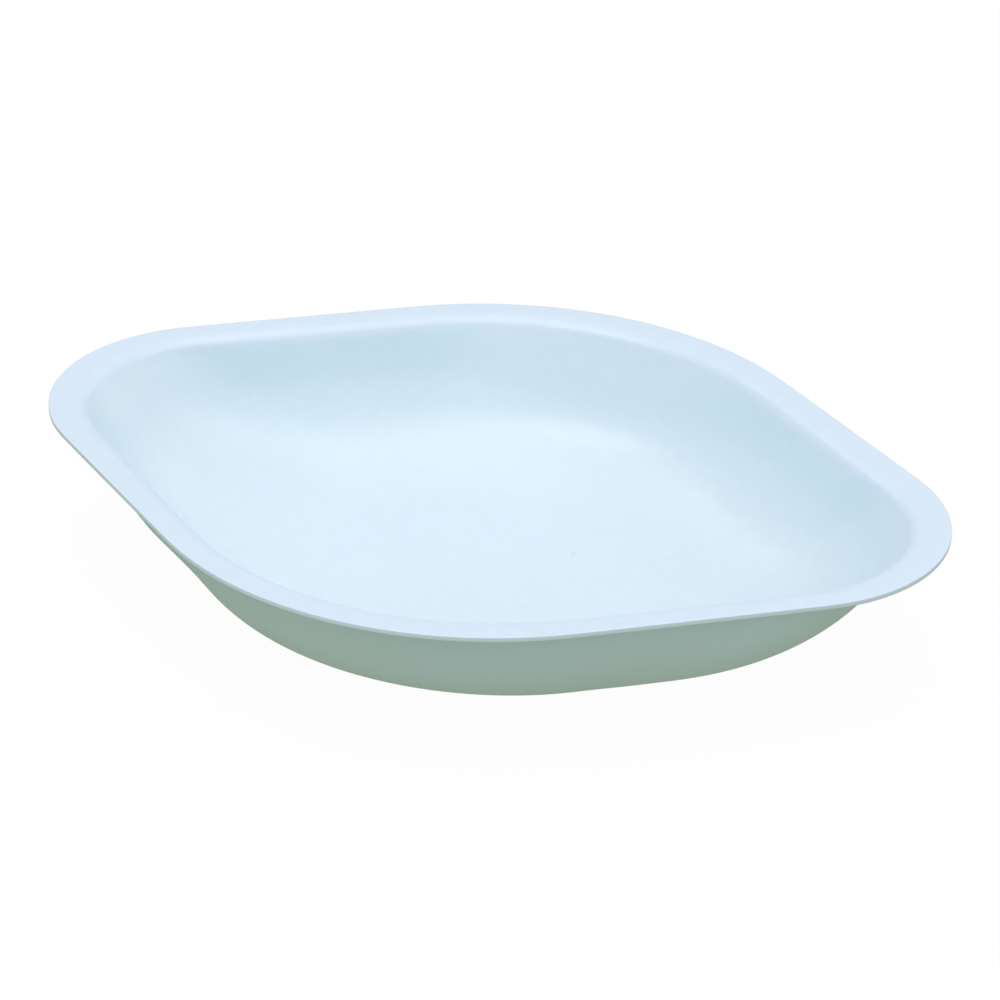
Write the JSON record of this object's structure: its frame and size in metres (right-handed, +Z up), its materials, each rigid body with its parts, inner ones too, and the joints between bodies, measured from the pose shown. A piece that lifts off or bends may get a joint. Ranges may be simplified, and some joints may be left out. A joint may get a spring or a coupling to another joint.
{
  "type": "weighing boat",
  "caption": "Shallow diamond-shaped weighing boat, thin formed sheet with a flat flange, rounded corners, steep sides and a wide cove into a dished floor.",
  "frame": {"origin": "on the bench below the middle of the boat, where its flat floor rests", "axes": "+X towards a pouring tip (the length), +Y towards a side corner (the width), +Z up out of the well"},
  "size_m": [0.085, 0.065, 0.014],
  "materials": {
    "polystyrene_sheet": "satin, pale blue-white formed sheet"
  },
  "bodies": {
    "root": {"boat": "polystyrene_sheet"}
  },
  "joints": []
}
